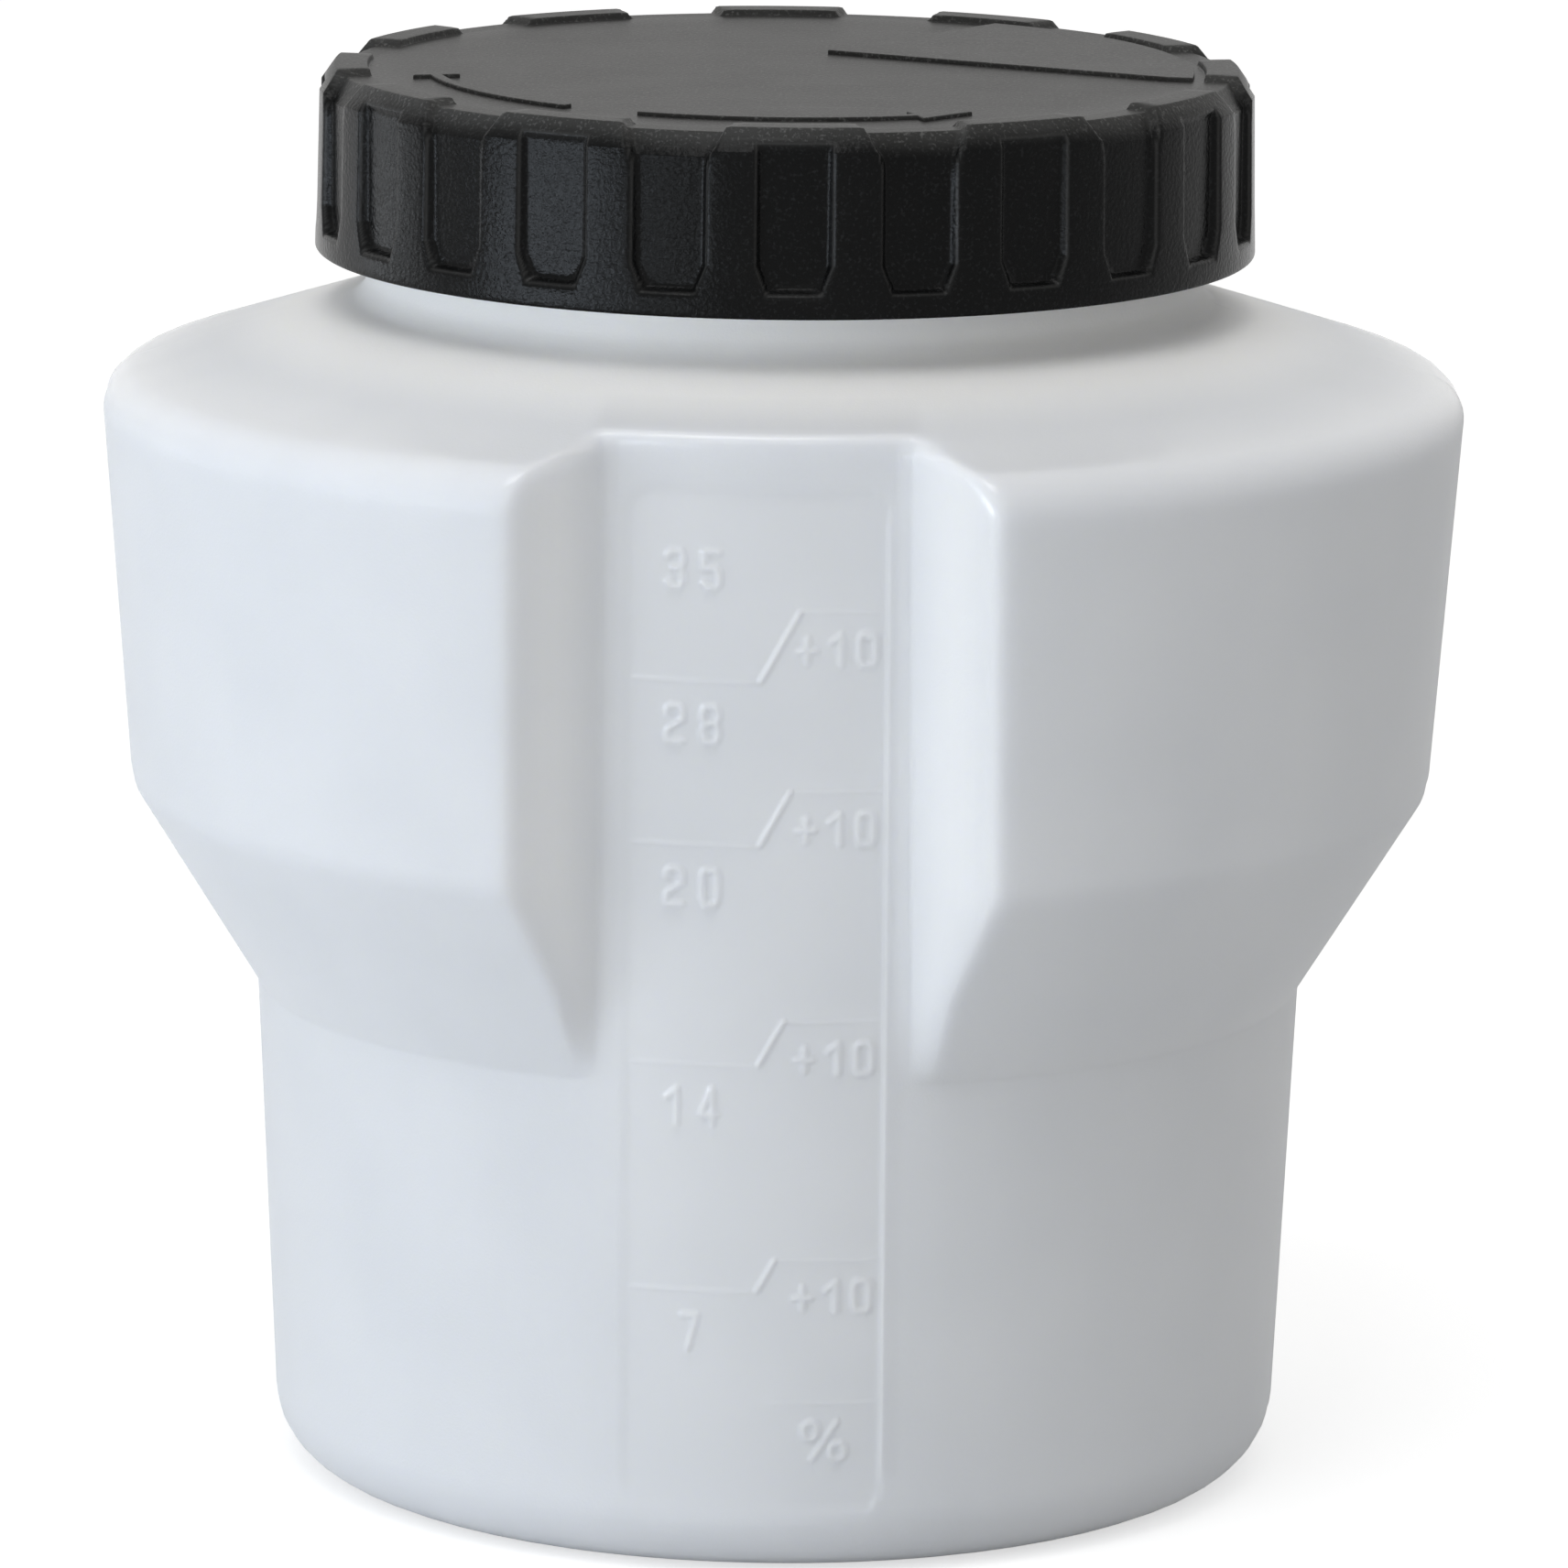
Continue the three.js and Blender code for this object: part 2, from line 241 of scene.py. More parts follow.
def scaleStrokes():
    # the numbers, the slashes beside them with the panel's right border, and the level lines
    s = scale
    signsUp, slashes, lines = [], [], []
    for text, level, more in s["marks"]:
        left = s["numberLeft"] + (s["digits"] - len(text)) * s["numberStep"] / 2
        low = level - s["numberDrop"] - s["numberHigh"]
        signsUp += strokesOf(text, left, low, s["numberWide"], s["numberHigh"], s["numberStep"])
        if more:
            lines.append([(s["left"], level), (s["slashFoot"], level)])
            top = s["slashFoot"] + s["slashLean"] * (more - level)
            slashes.append([(s["slashFoot"], level), (top, more)])
            lines.append([(top, more), (s["right"], more)])
            place = (s["plusLeft"], more - s["plusDrop"] - s["plusHigh"])
            signsUp += strokesOf(s["plusText"], *place, s["plusWide"], s["plusHigh"], s["plusStep"])
    lines.append([(s["shareLeft"], s["shareLevel"]), (s["right"], s["shareLevel"])])
    ends = (s["foot"] + s["cornerRound"], s["head"] - s["cornerRound"])
    slashes.append([(s["right"], end) for end in ends])
    signsUp += strokesOf(s["shareText"], *s["shareSign"], *s["shareSize"], 0)
    return signsUp, slashes, lines


def scalePanel(x, z):
    # how far inside the panel's outline a point lies: the signed distance to a rectangle with round corners
    s = scale
    middleX, middleZ = (s["left"] + s["right"]) / 2, (s["foot"] + s["head"]) / 2
    overX = np.abs(x - middleX) - (s["right"] - s["left"]) / 2 + s["cornerRound"]
    overZ = np.abs(z - middleZ) - (s["head"] - s["foot"]) / 2 + s["cornerRound"]
    outside = np.hypot(np.maximum(overX, 0), np.maximum(overZ, 0))
    return s["cornerRound"] - outside - np.minimum(np.maximum(overX, overZ), 0)


def scaleRelief(x, z):
    # the panel lies a little deeper than the wall round it, with a crisp right edge and a soft left one,
    # and its signs and lines stand up from it
    s = scale
    kinds = (
        (s["rise"], s["strokeHalf"]), (s["slashRise"], s["lineHalf"]), (s["lineRise"], s["lineHalf"]),
    )
    relief = np.zeros(x.shape)
    for strokes, (rise, half) in zip(scaleStrokes(), kinds):
        inside = (half + s["flank"] - strokeDistance(x, z, strokes)) / s["flank"]
        relief = np.maximum(relief, rise * easeStep(inside))
    edge = np.interp(x, [s["left"], s["right"]], [s["softEdge"], s["edge"]])
    panel = easeStep(scalePanel(x, z) / edge + 1)
    return relief - s["sink"] * panel, panel


# Bottle

bottle = {
    # the profile's corners as (radius, height), each with its round
    "wall": 1.6, "skin": 0.1,
    "pushUp": (30, 2.4), "standing": (35, 0),
    "base": (50.5, 0), "baseRound": 7.3,
    "waist": (52.7, 49.8), "waistRound": 1.2,
    "hip": (65.4, 70.3), "hipRound": 5.9,
    "shoulder": (68.4, 110.9), "shoulderRound": 4.5,
    "neck": (41.9, 119.3), "neckRound": 2.5, "rimRound": 0.5,
    # the grip recess
    "recessDepth": 11.2, "recessFootWidth": 30.3, "recessTopWidth": 29.5, "recessLean": 43,
    "recessFootRound": 2.1, "recessLipRound": 2.3, "recessEdge": 0.9, "edgeFrom": 100, "edgeOver": 10,
    "steadyRadius": 40, "leastWallAngle": 2.5, "mostRounding": 0.25,
    "seamHeight": 0.09, "seamHalf": 0.32, "seamInner": 42.9,
    # rows and columns of the grid
    "outerSteps": (6, 4, 5, 60, 30, 60, 18, 36), "arcSteps": 9, "rimSteps": (1, 2, 1), "rimArcSteps": 4,
    "fineRow": 0.25, "plainRow": 1.8, "rowMargin": 0.5, "wallFrom": 8.0, "wallTo": 107.0, "innerRows": 26,
    "panelStep": 0.25, "panelReach": 13.25, "backFloorSteps": 5, "sideSteps": 12,
    "wallStations": [
        -0.06, 0.02, 0.08, 0.15, 0.24, 0.36, 0.5, 0.64, 0.76, 0.85, 0.92, 0.98, 1.04, 1.1, 1.18, 1.3, 1.5,
    ],
    "seamStations": [2.5, 1.0, 0.5, 0],
    # where the colour is painted lighter, for light through the plastic at the neck and to lift the shade
    # up the recess walls (stretch sets how much on the walls), and where it is polished
    "denseFrom": 58, "neckLightOver": 10, "stretch": 0.6, "wallLightAt": 0.55, "wallLightOver": 0.4,
    "lipOver": 0.12, "edgeTop": 114.4, "bendOver": 1.8, "bendInner": 50, "panelGloss": 0.3,
}
neckThread = {
    "start": 124.6, "lead": 6, "turns": 1.5, "startAngle": -38,
    "depth": 1.2, "crest": 1.0, "flank": 0.9, "fade": 0.05,
}


def wallHeights():
    # heights of the rows up the wall: close together where the scale has signs, wide apart elsewhere
    b = bottle
    bands = [(scale["shareSign"][1], scale["shareLevel"])]
    for _, level, more in scale["marks"]:
        bands.append((level - scale["numberDrop"] - scale["numberHigh"], more or level))
    bands = sorted((low - b["rowMargin"], high + b["rowMargin"]) for low, high in bands)
    heights, at = [], b["wallFrom"]
    for low, high in bands + [(b["wallTo"], b["wallTo"])]:
        heights.append(np.linspace(at, low, math.ceil((low - at) / b["plainRow"]), endpoint=False))
        heights.append(np.linspace(low, high, math.ceil((high - low) / b["fineRow"]), endpoint=False))
        at = high
    return np.concatenate(heights)


def bottleRows():
    # the profile as radius, height and inset: up the outside, over the rim, and down the inside, which is
    # the outside moved by the wall along its normal
    b = bottle
    rim = (b["neck"][0], bottleHigh[2])
    outer = roundedProfile([
        (0, b["pushUp"][1], 0), (*b["pushUp"], 0), (*b["standing"], 0), (*b["base"], b["baseRound"]),
        (*b["waist"], b["waistRound"]), (*b["hip"], b["hipRound"]),
        (*b["shoulder"], b["shoulderRound"]), (*b["neck"], b["neckRound"]), (*rim, 0),
    ], b["outerSteps"], b["arcSteps"])
    # the wall's own rows take the place of the profile's; the rows under the base count as height 0 here
    heights = wallHeights()
    rising = outer[:, 1] * (outer[:, 0] > b["standing"][0])
    low, high = np.searchsorted(rising, [heights[0], heights[-1]])
    onWall = np.stack([np.interp(heights, outer[:, 1], outer[:, 0]), heights], -1)
    outside = np.concatenate([outer[1:low], onWall, outer[high + 1:-1]])
    climb = np.gradient(outer, axis=0)
    normal = np.stack([-climb[:, 1], climb[:, 0]], -1) / np.linalg.norm(climb, axis=1)[:, None]
    inner = outer + normal * b["wall"]
    over = roundedProfile([
        (*outer[-2], 0), (*rim, b["rimRound"]),
        (rim[0] - b["wall"], rim[1], b["rimRound"]), (*inner[-2], 0),
    ], b["rimSteps"], b["rimArcSteps"])[1:-1]
    keep = np.linspace(1, len(inner) - 1, b["innerRows"]).round().astype(int)
    inside = inner[keep][::-1][1:]
    points = np.concatenate([outside, over, inside])
    inset = np.concatenate([np.zeros(len(outside) + len(over)), np.full(len(inside), b["wall"])])
    return points[:, :1], points[:, 1:], inset[:, None]


def recessAt(radius, height, inset):
    # the recess at each height: its floor runs parallel to the upper wall and its side walls lean outwards
    b = bottle
    lean = math.radians(b["recessLean"])
    upperFloor = lineAt(b["hip"], b["shoulder"], height) - b["recessDepth"]
    floor = np.maximum(upperFloor, lineAt(b["base"], b["waist"], height)) - inset
    ends, widths = [b["waist"][1], b["shoulder"][1]], [b["recessFootWidth"], b["recessTopWidth"]]
    half = np.interp(height, ends, widths) / 2 + inset * (1 / math.cos(lean) - math.tan(lean))
    over = radius - floor
    edge = b["recessEdge"] * np.clip((height - b["edgeFrom"]) / b["edgeOver"], 0, 1)
    depth = (over + np.sqrt(over * over + edge * edge)) / 2
    depth = np.where(over + edge > 0, depth, np.maximum(depth, 0))
    foot = np.maximum(np.minimum(floor, radius), b["steadyRadius"])
    footAngle = np.arcsin(half / foot)
    meet = math.tan(lean) * foot * np.cos(footAngle) - half
    slant = math.hypot(1, math.tan(lean))
    lipAngle = lean - np.arcsin(meet / (slant * np.maximum(radius, b["steadyRadius"])))
    wallAngle = np.maximum(lipAngle - footAngle, math.radians(b["leastWallAngle"]))
    wide = np.maximum(depth, hair) * slant
    footRound = np.minimum(b["recessFootRound"] / wide, b["mostRounding"])
    lipRound = np.minimum(b["recessLipRound"] / wide, b["mostRounding"])
    return depth, foot, footAngle, wallAngle, footRound, lipRound


def quarterAngles(across, foot, footAngle, wallAngle):
    # one quarter's columns, from the middle of the recess to the seam at the side: across the recess's
    # floor, up its wall and round the side
    b = bottle
    floorAngles = np.arcsin(across / foot)
    wallAngles = footAngle + wallAngle * np.array(b["wallStations"])
    last = wallAngles[:, -1:]
    share = np.linspace(0, 1, b["sideSteps"] + 1)[1:-1]
    seam = 1 - np.array(b["seamStations"]) * b["seamHalf"] / b["shoulder"][0]
    share = np.concatenate([share[share < seam[0]], seam])
    return np.concatenate([floorAngles, wallAngles, last + (math.pi / 2 - last) * share], 1)


def makeBottle():
    # the radius of the profile, less the recess's depth times what is left of the soft ramp up its wall
    b = bottle
    radius, height, inset = bottleRows()
    depth, foot, footAngle, wallAngle, footRound, lipRound = recessAt(radius, height, inset)
    frontAcross = np.arange(0, b["panelReach"] + b["panelStep"] / 2, b["panelStep"])
    backAcross = np.linspace(0, b["panelReach"], b["backFloorSteps"] + 1)
    front = quarterAngles(frontAcross, foot, footAngle, wallAngle)
    back = quarterAngles(backAcross, foot, footAngle, wallAngle)
    angle = np.concatenate([
        front, math.pi - back[:, -2::-1], math.pi + back[:, 1:], 2 * math.pi - front[:, -2:0:-1],
    ], 1)
    fromRecess = np.abs((angle + math.pi / 2) % math.pi - math.pi / 2)
    up = (fromRecess - footAngle) / wallAngle
    wall = softRamp(up, footRound, lipRound)
    r = radius - depth * (1 - wall)
    # relief only on the outside: the scale in front, the seam at both sides, the thread on the neck
    outside = inset == 0
    spread = np.broadcast_to(height, r.shape)
    x = r * np.sin(angle)
    onScale = outside & (np.cos(angle) > 0) & (np.abs(x) < b["panelReach"])
    onScale &= (height > scale["foot"] - scale["margin"]) & (height < scale["head"] + scale["margin"])
    relief, panel = np.zeros(r.shape), np.zeros(r.shape)
    relief[onScale], panel[onScale] = scaleRelief(x[onScale], spread[onScale])
    seam = b["seamHeight"] * easeStep(1 - np.abs(r * np.cos(angle)) / b["seamHalf"])
    onSeam = outside & (radius > b["seamInner"])
    onNeck = outside & (height > b["neck"][1] + b["neckRound"])
    thread = threadRidge(neckThread, angle, height) * onNeck
    r = r + relief + seam * onSeam + thread - b["skin"] * outside
    # painted light: the colour is painted lighter towards the neck, for light through the plastic under the
    # lid's shade, and up the recess walls, to lift their shade
    deep = np.clip(depth / b["recessDepth"], 0, 1)
    neck = easeStep((b["denseFrom"] - radius) / b["neckLightOver"]) * (height > b["shoulder"][1])
    paintedWallLight = b["stretch"] * deep * bell((up - b["wallLightAt"]) / b["wallLightOver"])
    paintedLight = np.maximum(neck, paintedWallLight)
    # its edges are polished by the mould: bell curves about the recess's lips and about the bend of the
    # shoulder, which climbs across the recess walls to the floor's upper edge
    lips = deep * bell((up - 1) / b["lipOver"])
    bend = b["shoulder"][1] + (b["edgeTop"] - b["shoulder"][1]) * (1 - wall)
    bends = bell((height - bend) / b["bendOver"]) * (radius > b["bendInner"])
    polished = np.maximum(np.maximum(lips, bends), b["panelGloss"] * panel)
    poles = (b["pushUp"][1], b["pushUp"][1] + b["wall"])
    attributes = {"panel": panel, "paintedLight": paintedLight, "polished": polished}
    return roundPiece("bottle", r, angle, spread, poles, attributes)


# Lid

lid = {
    "turn": 3.65, "count": 12, "skin": 0.02, "wall": 1.95, "leadIn": 0.7, "plate": 1.65,
    "skirtDraft": 0.3, "chamferRun": 1.6, "chamferRise": 2.25, "edgeRound": 0.3, "chamferRound": 0.3,
    "lugHeight": 0.65, "lugReach": 3.4, "lugEndLean": 1.3, "lugRound": 0.15, "lugRun": 0.6, "lugFade": 0.15,
    "pocketDepth": 0.85, "pocketWidth": 7.7, "pocketDraft": 0.55, "pocketFoot": 2.3, "pocketHead": 0.9,
    "cornerWide": 1.1, "cornerHigh": 2.8, "bendRound": 0.28, "lipAt": 0.25, "lipOver": 0.12,
    # rows, and columns as lengths from the middle of a closed or an open pocket
    "insideSteps": (5, 26, 1), "outsideSteps": (2, 3, 17, 10, 8, 4, 2, 1), "arcSteps": 4,
    "denseFrom": 1.9, "denseTo": 5.6, "plateRings": 8,
    "acrossClosed": [
        0, 1.4, 2.3, 2.7, 2.95, 3.1, 3.22, 3.34, 3.46, 3.58, 3.7, 3.8, 3.9, 4.02, 4.25, 5.3,
    ],
    "acrossOpen": [
        5.75, 5.35, 5.15, 5.05, 4.95, 4.85, 4.6, 4.25, 4.02, 3.9, 3.8, 3.7, 3.58, 3.46, 3.34, 3.22, 3.1,
        2.9, 2.6, 2.3, 1.4, 0,
    ],
}
lidThread = {**neckThread, "start": 121.9}


def lidSizes():
    # heights and radii that follow from the lid's box and its walls
    s = {"top": lidHigh[2] - lid["skin"], "foot": lidLow[2] + lid["skin"]}
    s["plateTop"] = s["top"] - lid["lugHeight"]
    s["under"] = s["plateTop"] - lid["plate"]
    s["footRadius"] = (lidHigh[0] - lidLow[0]) / 2 - lid["skin"]
    s["topRadius"] = s["footRadius"] - lid["skirtDraft"]
    s["pocketRadius"] = s["topRadius"] - lid["pocketDepth"]
    s["insideRadius"] = s["pocketRadius"] - lid["wall"]
    s["chamferFoot"] = s["top"] - lid["chamferRise"]
    s["lugOuter"] = s["topRadius"] - lid["chamferRun"]
    s["lugInner"] = s["lugOuter"] - lid["lugReach"]
    s["notchFoot"] = s["chamferFoot"] - lid["lugHeight"]
    return s


def lidProfiles(s):
    # the inside's profile, from the middle of the underside to the foot, then two profiles with matching
    # rows, from the foot to the edge of the plate: through a rib with its lug, and through a pocket that is
    # open at the top, where the lug's chamfer is moved in and down
    e, lead, lug = lid["edgeRound"], lid["leadIn"], lid["lugRound"]
    shared = roundedProfile([
        (0, s["under"], 0), (s["insideRadius"], s["under"], e),
        (s["insideRadius"], s["foot"] + lead, 0), (s["insideRadius"] + lead, s["foot"], 0),
    ], lid["insideSteps"], lid["arcSteps"])
    footCorner, topCorner = (s["footRadius"], s["foot"]), (s["topRadius"], s["chamferFoot"])
    dense = [s["foot"] + lid[key] for key in ("denseFrom", "denseTo")]
    rib = roundedProfile([
        (*shared[-1], 0), (*footCorner, e),
        *((lineAt(footCorner, topCorner, level), level, 0) for level in dense),
        (*topCorner, lid["chamferRound"]), (s["lugOuter"], s["top"], lid["chamferRound"]),
        (s["lugInner"] + lug, s["top"], lug), (s["lugInner"], s["plateTop"], lug),
        (s["lugInner"] - lid["lugRun"], s["plateTop"], 0),
    ], lid["outsideSteps"], lid["arcSteps"])[1:]
    r, z = rib.T
    up = np.clip((z - s["foot"]) / (s["chamferFoot"] - s["foot"]), 0, 1)
    fade = np.clip((r - s["lugInner"]) / (s["lugOuter"] - s["lugInner"]), 0, 1)
    inwards = np.where(up < 1, np.maximum(r - s["pocketRadius"], 0), lid["pocketDepth"] * fade)
    lowered = np.minimum(z - lid["lugHeight"] * up, s["plateTop"])
    level = np.where(fade > lid["lugFade"], lowered, s["plateTop"])
    return shared, rib, np.stack([r - inwards, level], -1)


def pocketInside(across, height, half, s):
    # how far inside a pocket's outline a point lies: the least distance to its sides, foot and cut corners
    aside, above = half - np.abs(across), height - s["foot"] - lid["pocketFoot"]
    wide, high = lid["cornerWide"], lid["cornerHigh"]
    corner = (aside * high + above * wide - wide * high) / math.hypot(wide, high)
    return np.minimum(np.minimum(aside, above), corner)


def makeLid():
    s = lidSizes()
    shared, ribRows, notchRows = lidProfiles(s)
    # columns: half a pitch from a closed pocket to an open one, mirrored and repeated
    pitch = 2 * math.pi / lid["count"]
    closed = np.arcsin(np.array(lid["acrossClosed"]) / s["topRadius"])
    opened = pitch / 2 - np.arcsin(np.array(lid["acrossOpen"]) / s["topRadius"])
    half = np.concatenate([closed, opened])
    whole = np.concatenate([half, pitch - half[-2:0:-1]])
    local = (whole + pitch * np.arange(lid["count"])[:, None]).ravel()[None]
    fromClosed = (local + pitch / 2) % pitch - pitch / 2
    fromOpen = local % pitch - pitch / 2
    # the skirt: the rib's profile, moved towards the open pocket's where one is, and cut by the closed ones
    ribR, ribZ = ribRows[:, :1], ribRows[:, 1:]
    notchR, notchZ = notchRows[:, :1], notchRows[:, 1:]
    lift = np.clip((ribZ - s["notchFoot"]) / (s["top"] - s["notchFoot"]), 0, 1)
    width = lid["pocketWidth"] / 2 + lid["lugEndLean"] * lift
    endDraft = lid["lugEndLean"] * lid["lugHeight"] / (s["top"] - s["notchFoot"])
    draft = lid["pocketDraft"] + (endDraft - lid["pocketDraft"]) * lift
    openIn = pocketInside(ribR * np.sin(fromOpen), ribZ, width, s)
    openCut = softRamp(openIn / draft, lid["bendRound"], lid["bendRound"])
    r, z = ribR + openCut * (notchR - ribR), ribZ + openCut * (notchZ - ribZ)
    closedIn = pocketInside(ribR * np.sin(fromClosed), ribZ, lid["pocketWidth"] / 2, s)
    closedIn = np.minimum(closedIn, s["chamferFoot"] + lid["pocketHead"] - ribZ)
    closedCut = softRamp(closedIn / lid["pocketDraft"], lid["bendRound"], lid["bendRound"])
    r = r - closedCut * np.maximum(ribR - s["pocketRadius"], 0)
    # the inside with its thread, and the plate's rings, from the lugs to the middle
    angle = local + math.radians(lid["turn"])
    insideShape = (len(shared) - 1, angle.size)
    sharedR, sharedZ = (np.broadcast_to(shared[1:, k:k + 1], insideShape) for k in (0, 1))
    onWall = np.abs(sharedR - s["insideRadius"]) < hair
    ridge = threadRidge(lidThread, angle, sharedZ) * onWall
    rings = np.linspace(ribRows[-1, 0], 0, lid["plateRings"] + 2)[1:-1, None]
    plate = np.full((len(rings), angle.size), s["plateTop"])
    radius = np.concatenate([sharedR - ridge, r, np.broadcast_to(rings, plate.shape)])
    height = np.concatenate([sharedZ, z, plate])
    # dust and a painted lighter tone for top light lie on top, and the lips of pockets and lugs carry
    # handling wear with a painted highlight: a bell curve about each cut's start
    level = np.broadcast_to(easeStep((ribZ - s["chamferFoot"]) / lid["chamferRise"]), r.shape)
    lips = bell((np.maximum(openCut, closedCut) - lid["lipAt"]) / lid["lipOver"])
    top = np.concatenate([np.zeros(insideShape), level, np.ones(plate.shape)])
    wearAndHighlight = np.concatenate([np.zeros(insideShape), lips, np.zeros(plate.shape)])
    spread, poles = np.broadcast_to(angle, radius.shape), (s["under"], s["plateTop"])
    return roundPiece("lid", radius, spread, height, poles, {"top": top, "wearAndHighlight": wearAndHighlight})


# Signs on the lid

lidSigns = {
    "arcRadius": 35.6, "arcHalf": 0.6, "rise": 0.4, "sunk": 0.1, "arcSteps": 24,
    "bevel": 0.12, "bevelSegments": 2,
    "shutArc": (-34, -74), "shutHead": -88, "openArc": (-21, 23), "openHead": 33, "headHalf": 2.4,
    "stepFrom": (3.5, 12.7), "stepTo": (37.9, -3.43), "stepReach": 40.6, "stepTurn": 66, "stepRise": 0.45,
}


def polar(radius, degrees):
    # points on a circle about the axis
    turn = np.radians(degrees)
    return np.stack([radius * np.sin(turn), -radius * np.cos(turn)], -1)


def signOutlines():
    # two bent arrows that point apart, each an arc's two sides with a three-cornered head, and the low step
    # behind a straight line, closed by an arc inside the lugs
    g = lidSigns
    outlines = []
    for (tail, neck), tip in ((g["shutArc"], g["shutHead"]), (g["openArc"], g["openHead"])):
        along = np.linspace(tail, neck, g["arcSteps"])
        arrow = np.concatenate([
            polar(g["arcRadius"] + g["arcHalf"], along), polar(g["arcRadius"] + g["headHalf"], [neck]),
            polar(g["arcRadius"], [tip]), polar(g["arcRadius"] - g["headHalf"], [neck]),
            polar(g["arcRadius"] - g["arcHalf"], along[::-1]),
        ])
        outlines.append((arrow, g["rise"]))
    start = math.degrees(math.atan2(g["stepTo"][0], -g["stepTo"][1]))
    rim = polar(g["stepReach"], np.linspace(start, start + g["stepTurn"], g["arcSteps"]))
    outlines.append((np.concatenate([[g["stepFrom"], g["stepTo"]], rim]), g["stepRise"]))
    return outlines


def makeSigns():
    # each outline as a low plate with bevelled edges, sunk a little into the lid
    g, plateTop = lidSigns, lidSizes()["plateTop"]
    places, faces, first = [], [], 0
    for outline, rise in signOutlines():
        following = np.roll(outline, -1, 0)
        if (outline[:, 0] * following[:, 1] - outline[:, 1] * following[:, 0]).sum() < 0:
            outline = outline[::-1]
        count = len(outline)
        for level in (plateTop - g["sunk"], plateTop + rise):
            places.append(np.column_stack([outline, np.full(count, level)]))
        ring = first + np.arange(count)
        ahead = np.roll(ring, -1)
        faces += [ring[::-1].tolist(), (ring + count).tolist()]
        faces += np.stack([ring, ahead, ahead + count, ring + count], -1).tolist()
        first += 2 * count
    mesh = bpy.data.meshes.new("lidSigns")
    mesh.from_pydata((np.concatenate(places) * mm).tolist(), [], faces)
    # the top mask: dust and painted top light on the signs as on the plate
    layer = mesh.attributes.new("top", "FLOAT", "POINT")
    layer.data.foreach_set("value", np.ones(first, np.float32))
    piece = linkPiece("lidSigns", mesh)
    bevel = piece.modifiers.new("bevel", "BEVEL")
    bevel.width = g["bevel"] * mm
    bevel.segments = g["bevelSegments"]
    print("lidSigns has", len(faces), "faces before the bevel")
    return piece


# Sealing ring

seal = {
    "inside": 39.0, "edgeRound": 0.35, "dish": 0.12, "dishPower": 4, "skin": 0.01,
    "steps": (2, 10, 2, 10, 2), "arcSteps": 6, "columns": 180,
}


def makeSeal():
    # a flat ring whose faces dip a little where the rim presses: a sine across the ring, to a power
    inside, outside = seal["inside"], (sealHigh[0] - sealLow[0]) / 2 - seal["skin"]
    low, high = sealLow[2] + seal["skin"], sealHigh[2] - seal["skin"]
    middle, e = (low + high) / 2, seal["edgeRound"]
    loop = roundedProfile([
        (inside, middle, 0), (inside, low, e), (outside, low, e), (outside, high, e), (inside, high, e),
        (inside, middle, 0),
    ], seal["steps"], seal["arcSteps"])[:-1]
    share = (loop[:, 0] - inside) / (outside - inside)
    pressed = np.sin(math.pi * share) ** seal["dishPower"]
    height = loop[:, 1] + np.sign(middle - loop[:, 1]) * seal["dish"] * pressed
    angle = np.linspace(0, 2 * math.pi, seal["columns"], endpoint=False)[None]
    columns = (loop[:, :1], angle, height[:, None], pressed[:, None])
    *grid, pressed = (np.broadcast_to(v, (len(loop), seal["columns"])) for v in columns)
    return roundPiece("seal", *grid, None, {"pressed": pressed})


# Finishes

def addNode(tree, kind, links=None, **values):
    # a node with its properties and unlinked inputs set, and its linked inputs joined
    node = tree.nodes.new(kind)
    for key, value in values.items():
        if hasattr(node, key):
            setattr(node, key, value)
        else:
            node.inputs[key.replace("_", " ")].default_value = value
    for key, output in (links or {}).items():
        tree.links.new(output, node.inputs[key])
    return node


def combine(tree, operation, first, second):
    # a Math node of two values, the second a socket or a plain number
    node = addNode(tree, "ShaderNodeMath", {0: first}, operation=operation)
    if isinstance(second, float):
        node.inputs[1].default_value = second
    else:
        tree.links.new(second, node.inputs[1])
    return node.outputs[0]


def carry(tree, value, **limits):
    # a value carried in a straight line from one range to another
    return addNode(tree, "ShaderNodeMapRange", {"Value": value}, **limits).outputs["Result"]


def noise(tree, place, size, detail):
    links = {"Vector": place, "Scale": size}
    return addNode(tree, "ShaderNodeTexNoise", links, Detail=detail).outputs["Fac"]


def attribute(tree, name):
    return addNode(tree, "ShaderNodeAttribute", attribute_name=name).outputs["Fac"]


def mixColours(tree, factor, first, second):
    # from the first colour to the second, each a socket or a plain colour
    node = addNode(tree, "ShaderNodeMix", data_type="RGBA")
    tree.links.new(factor, node.inputs["Factor"])
    for socket, colour in (("A", first), ("B", second)):
        target = next(i for i in node.inputs if i.name == socket and i.type == "RGBA")
        if isinstance(colour, tuple):
            target.default_value = (*colour, 1)
        else:
            tree.links.new(colour, target)
    return next(o for o in node.outputs if o.type == "RGBA")


def newGroup(name, inputs, outputs):
    tree = bpy.data.node_groups.new(name, "ShaderNodeTree")
    for way, labels in (("INPUT", inputs), ("OUTPUT", outputs)):
        for label in labels:
            tree.interface.new_socket(label, in_out=way, socket_type="NodeSocketFloat")
    return tree, tree.nodes.new("NodeGroupInput"), tree.nodes.new("NodeGroupOutput")


def placeGroup(tree, group, values):
    return addNode(tree, "ShaderNodeGroup", node_tree=group, **values)


grainLook = {"pitDetail": 2.0, "waveDetail": 1.0}


